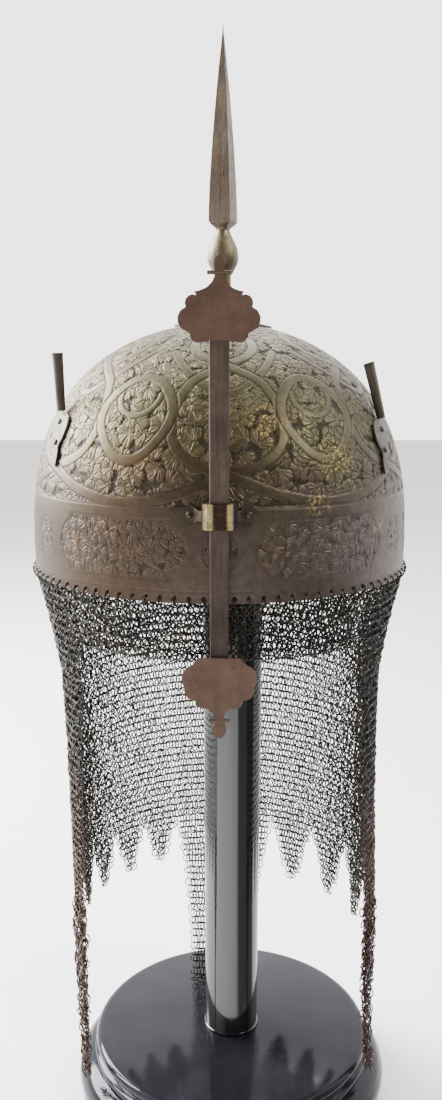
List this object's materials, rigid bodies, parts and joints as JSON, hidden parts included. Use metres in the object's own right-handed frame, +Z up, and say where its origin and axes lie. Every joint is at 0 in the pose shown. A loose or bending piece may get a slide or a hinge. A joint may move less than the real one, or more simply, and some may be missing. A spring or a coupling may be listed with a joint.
{
  "type": "kulah khud helmet on display stand",
  "caption": "Domed steel helmet with chiselled ornament, spike, sliding nasal bar, plume holders and a toothed mail curtain, resting on a turned black stand.",
  "frame": {"origin": "middle of the stand's flat foot", "axes": "+Z up along the column, -Y the way the brow faces, +X the helmet's left cheek, at the right of a viewer in front"},
  "size_m": [0.2076, 0.2069, 0.6002],
  "materials": {
    "bowl_steel": "dull chiselled steel, brown-grey patina",
    "fitting_steel": "worn dark steel",
    "nasal_iron": "rust-brown iron",
    "bracket_brass": "rubbed brass",
    "mail_iron": "dark oiled iron rings",
    "stand_lacquer": "glossy black lacquer"
  },
  "bodies": {
    "helmet": {"bowl": "bowl_steel", "spike_washer": "fitting_steel", "spike": "fitting_steel", "nasal_bracket": "bracket_brass", "bracket_rivet_left": "bracket_brass", "bracket_rivet_right": "bracket_brass", "plume_plate_left": "fitting_steel", "plume_plate_right": "fitting_steel", "plume_tube_left": "fitting_steel", "plume_tube_right": "fitting_steel", "plume_rivet_left_top": "fitting_steel", "plume_rivet_left_low": "fitting_steel", "plume_rivet_right_top": "fitting_steel", "plume_rivet_right_low": "fitting_steel", "mail_fringe": "mail_iron", "mail_left": "mail_iron", "mail_right": "mail_iron", "mail_back": "mail_iron", "stand_base": "stand_lacquer", "stand_column": "stand_lacquer", "stand_head": "stand_lacquer"},
    "nasal": {"nasal_bar": "nasal_iron", "nasal_finial_top": "nasal_iron", "nasal_finial_bottom": "nasal_iron"}
  },
  "joints": [
    {"name": "nasal_slide", "type": "slide", "parent": "helmet", "child": "nasal", "axis": [0, 0, 1], "range_m": [-0.0655, 0.058]}
  ]
}
